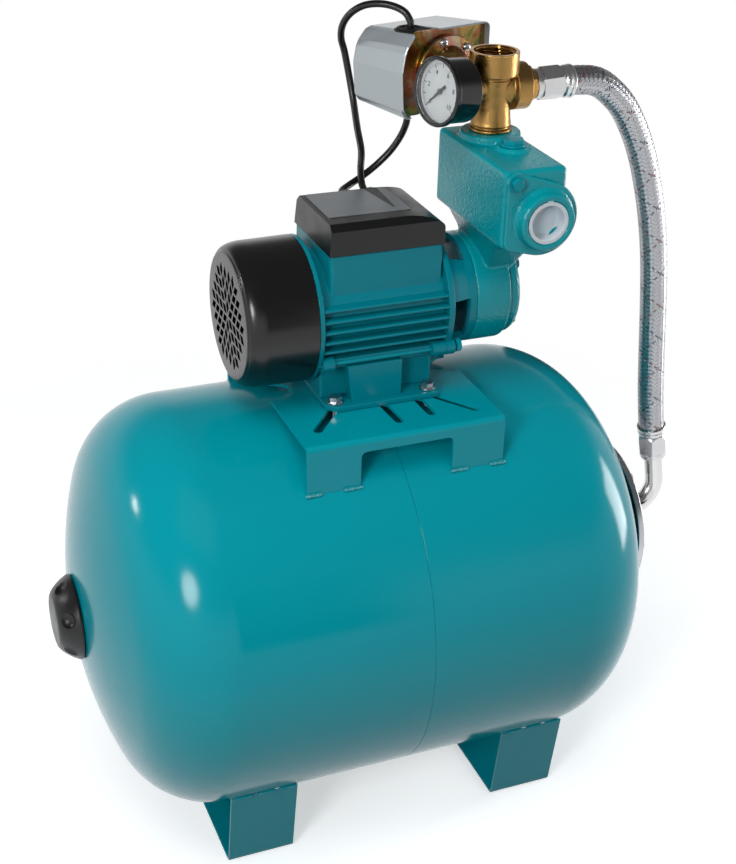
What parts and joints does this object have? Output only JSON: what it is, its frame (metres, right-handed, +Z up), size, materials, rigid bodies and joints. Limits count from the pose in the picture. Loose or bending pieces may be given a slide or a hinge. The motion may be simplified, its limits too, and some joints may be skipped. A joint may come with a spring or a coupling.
{
  "type": "booster pump set",
  "caption": "Self-priming electric water pump bolted on a horizontal diaphragm tank, with brass fitting, gauge, pressure switch and braided hose.",
  "frame": {"origin": "on the floor, under the middle of the object measured from the air valve cap to the pipe elbow", "axes": "+X along the tank towards the flange and hose, +Y away from the pump's inlet, +Z up"},
  "size_m": [0.5961, 0.36, 0.6981],
  "materials": {
    "teal_paint": "smooth gloss enamel, orange-peel texture on the pump castings",
    "black_paint": "semi-gloss black enamel",
    "black_plastic": "fine-grained moulded black plastic",
    "grey_plastic": "smooth pale grey moulded plastic",
    "white_plastic": "smooth white, slightly translucent",
    "rubber": "matt black rubber",
    "brass": "cast and machined brass, slightly grainy",
    "chrome": "bright chrome plating",
    "zinc": "bright zinc plating",
    "gold_zinc": "yellow passivated zinc with faint rainbow tints",
    "steel": "plain machined steel",
    "copper": "enamelled copper wire",
    "glass": "clear flat gauge glass",
    "braid": "woven stainless wire with sparse coloured tracer threads"
  },
  "bodies": {
    "pump_set": {"tank_shell_left": "teal_paint", "tank_shell_right": "teal_paint", "foot_left": "teal_paint", "foot_right": "teal_paint", "motor_platform": "teal_paint", "motor_housing": "teal_paint", "rear_end_shield": "teal_paint", "tie_bolt_front": "teal_paint", "tie_bolt_rear": "teal_paint", "pump_lantern": "teal_paint", "pump_casing": "teal_paint", "pump_cover": "teal_paint", "suction_flange": "teal_paint", "suction_bolt_high": "teal_paint", "suction_bolt_low": "teal_paint", "fan_cover": "black_paint", "gauge_case": "black_paint", "gauge_bezel": "black_paint", "terminal_lid": "black_plastic", "cable_glands": "black_plastic", "contact_block": "black_plastic", "switch_cover": "grey_plastic", "run_capacitor": "grey_plastic", "gauge_dial": "white_plastic", "tank_membrane": "rubber", "grommet_bottom": "rubber", "grommet_top": "rubber", "switch_cable_bottom": "rubber", "switch_cable_top": "rubber", "air_valve": "brass", "five_way_fitting": "brass", "hose_nipple": "brass", "gauge_stem": "brass", "elbow_pipe": "chrome", "tank_flange": "zinc", "foot_bolt_1": "zinc", "foot_bolt_2": "zinc", "foot_bolt_3": "zinc", "foot_bolt_4": "zinc", "elbow_nut": "zinc", "hose_ferrule_lower": "zinc", "hose_ferrule_upper": "zinc", "switch_frame": "gold_zinc", "pressure_flange": "gold_zinc", "stator_core": "steel", "front_bearing": "steel", "rear_bearing": "steel", "stator_windings": "copper", "gauge_lens": "glass", "braided_hose": "braid"},
    "rotor": {"rotor_shaft": "steel", "rotor_core": "steel", "cooling_fan": "black_plastic", "impeller": "brass", "slinger_ring": "rubber"},
    "gauge_needle_body": {"gauge_needle": "black_plastic"},
    "check_flap_body": {"check_flap": "rubber"},
    "priming_plug_body": {"priming_plug": "teal_paint"},
    "suction_plug_body": {"suction_plug": "white_plastic"},
    "air_valve_cap_body": {"air_valve_cap": "black_plastic"}
  },
  "joints": [
    {"name": "rotor_spin", "type": "hinge", "parent": "pump_set", "child": "rotor", "pos_m": [-0.02515, 0, 0.475], "axis": [1, 0, 0], "continuous": true},
    {"name": "needle_turn", "type": "hinge", "parent": "pump_set", "child": "gauge_needle_body", "pos_m": [0.03601, -0.01438, 0.64871], "axis": [0.96, 0.2662, -0.0872], "range_deg": [0, 265], "stiffness_Nm_per_rad": 0.0001},
    {"name": "flap_swing", "type": "hinge", "parent": "pump_set", "child": "check_flap_body", "pos_m": [0.09025, -0.0778, 0.5839], "axis": [1, 0, 0], "range_deg": [0, 40]},
    {"name": "priming_lift", "type": "slide", "parent": "pump_set", "child": "priming_plug_body", "axis": [0, 0, 1], "range_m": [0, 0.02]},
    {"name": "plug_pull", "type": "slide", "parent": "pump_set", "child": "suction_plug_body", "axis": [0, -1, 0], "range_m": [0, 0.02]},
    {"name": "cap_pull", "type": "slide", "parent": "pump_set", "child": "air_valve_cap_body", "axis": [-1, 0, 0], "range_m": [0, 0.03]}
  ]
}
